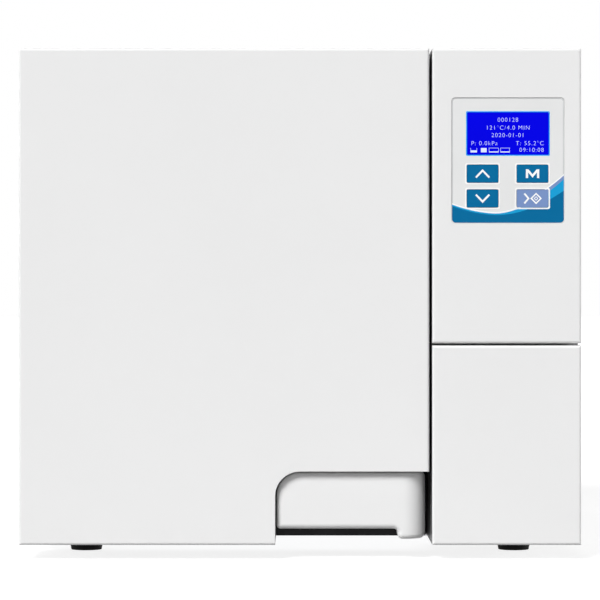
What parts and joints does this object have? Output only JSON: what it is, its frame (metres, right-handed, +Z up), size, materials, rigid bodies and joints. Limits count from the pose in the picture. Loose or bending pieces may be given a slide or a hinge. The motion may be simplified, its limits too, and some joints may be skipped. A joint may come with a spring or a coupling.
{
  "type": "autoclave",
  "caption": "Tabletop steam autoclave with a hinged chamber door, lever lock, key panel, service door, water tank and cooling fan.",
  "frame": {"origin": "under the middle of the appliance, on the surface that it stands on", "axes": "+X to the right seen from the front, +Y to the rear, +Z up"},
  "size_m": [0.445, 0.59, 0.405],
  "materials": {
    "white_moulding": "satin",
    "black_moulding": "matte",
    "white_paint": "powder coated",
    "stainless": "brushed",
    "zinc_steel": "zinc plated",
    "bright_steel": "polished",
    "cast_aluminium": "cast",
    "silicone": "matte",
    "black_rubber": "matte",
    "brass": "turned",
    "overlay_print": "satin print",
    "display_blue": "lit",
    "key_teal": "satin print",
    "key_lavender": "satin print",
    "circuit_board": "lacquered",
    "natural_plastic": "matte",
    "grey_plastic": "matte",
    "mineral_wool": "fibrous",
    "red_plastic": "gloss"
  },
  "bodies": {
    "body": {"hinge_brackets": "zinc_steel", "hinge_pin": "bright_steel", "lock_keeper": "zinc_steel", "front_plate": "black_moulding", "chamber": "stainless", "heater_band": "cast_aluminium", "chamber_insulation": "mineral_wool", "chamber_cradle": "zinc_steel", "tray_rack": "stainless", "trays": "stainless", "base_tray": "zinc_steel", "casing": "white_paint", "rear_panel": "white_paint", "feet": "black_rubber", "casing_screws": "bright_steel", "control_fascia": "white_moulding", "key_overlay": "overlay_print", "display_window": "display_blue", "display_module": "grey_plastic", "control_board": "circuit_board", "service_bay": "white_moulding", "door_magnet": "bright_steel", "drain_couplings": "brass", "air_filter": "natural_plastic", "switch_housing": "black_moulding", "water_tank": "natural_plastic", "tank_shelf": "zinc_steel", "lid_collar": "grey_plastic", "vacuum_pump": "cast_aluminium", "pump_mounts": "black_rubber", "steam_generator": "stainless", "water_pump": "grey_plastic", "valve_block": "brass", "condenser": "cast_aluminium", "fan_frame": "black_moulding", "fan_guard": "bright_steel", "pipework": "stainless", "safety_valve": "brass", "power_inlet": "black_moulding", "fuse_holders": "black_moulding", "power_board": "circuit_board"},
    "door": {"door_cover": "white_moulding", "door_inner_panel": "black_moulding", "door_bridge": "zinc_steel", "pressure_plate": "stainless", "door_gasket": "silicone", "door_spindle": "bright_steel", "shaft_bushes": "brass"},
    "handle": {"door_handle": "white_moulding", "lock_shaft": "bright_steel", "lock_claw": "zinc_steel"},
    "service_door": {"service_door": "white_moulding"},
    "tank_lid": {"tank_lid": "white_moulding"},
    "key_up": {"key_up": "key_teal"},
    "key_down": {"key_down": "key_teal"},
    "key_menu": {"key_menu": "key_teal"},
    "key_start": {"key_start": "key_lavender"},
    "rocker": {"switch_rocker": "red_plastic"},
    "fan": {"fan_rotor": "black_moulding"},
    "valve_ring": {"valve_ring": "bright_steel"}
  },
  "joints": [
    {"name": "door_swing", "type": "hinge", "parent": "body", "child": "door", "pos_m": [-0.2095, -0.228, 0.2085], "axis": [0, 0, -1], "range_deg": [0, 100]},
    {"name": "handle_turn", "type": "hinge", "parent": "door", "child": "handle", "pos_m": [0.0825, -0.272, 0.12], "axis": [0, 0, 1], "range_deg": [0, 65]},
    {"name": "service_door_swing", "type": "hinge", "parent": "body", "child": "service_door", "pos_m": [0.2155, -0.277, 0.09], "axis": [0, 0, 1], "range_deg": [0, 95]},
    {"name": "tank_lid_lift", "type": "hinge", "parent": "body", "child": "tank_lid", "pos_m": [0.1627, -0.044, 0.401], "axis": [-1, 0, 0], "range_deg": [0, 95]},
    {"name": "key_up_press", "type": "slide", "parent": "body", "child": "key_up", "axis": [0, 1, 0], "range_m": [0, 0.0005], "stiffness_N_per_m": 600},
    {"name": "key_down_press", "type": "slide", "parent": "body", "child": "key_down", "axis": [0, 1, 0], "range_m": [0, 0.0005], "stiffness_N_per_m": 600},
    {"name": "key_menu_press", "type": "slide", "parent": "body", "child": "key_menu", "axis": [0, 1, 0], "range_m": [0, 0.0005], "stiffness_N_per_m": 600},
    {"name": "key_start_press", "type": "slide", "parent": "body", "child": "key_start", "axis": [0, 1, 0], "range_m": [0, 0.0005], "stiffness_N_per_m": 600},
    {"name": "power_switch_rock", "type": "hinge", "parent": "body", "child": "rocker", "pos_m": [0.1967, -0.1498, 0.048], "axis": [-1, 0, 0], "range_deg": [0, 20]},
    {"name": "fan_spin", "type": "hinge", "parent": "body", "child": "fan", "pos_m": [-0.1, 0.272, 0.11], "axis": [0, 1, 0], "continuous": true},
    {"name": "safety_valve_pull", "type": "slide", "parent": "body", "child": "valve_ring", "axis": [0, 1, 0], "range_m": [0, 0.003], "stiffness_N_per_m": 1500}
  ]
}
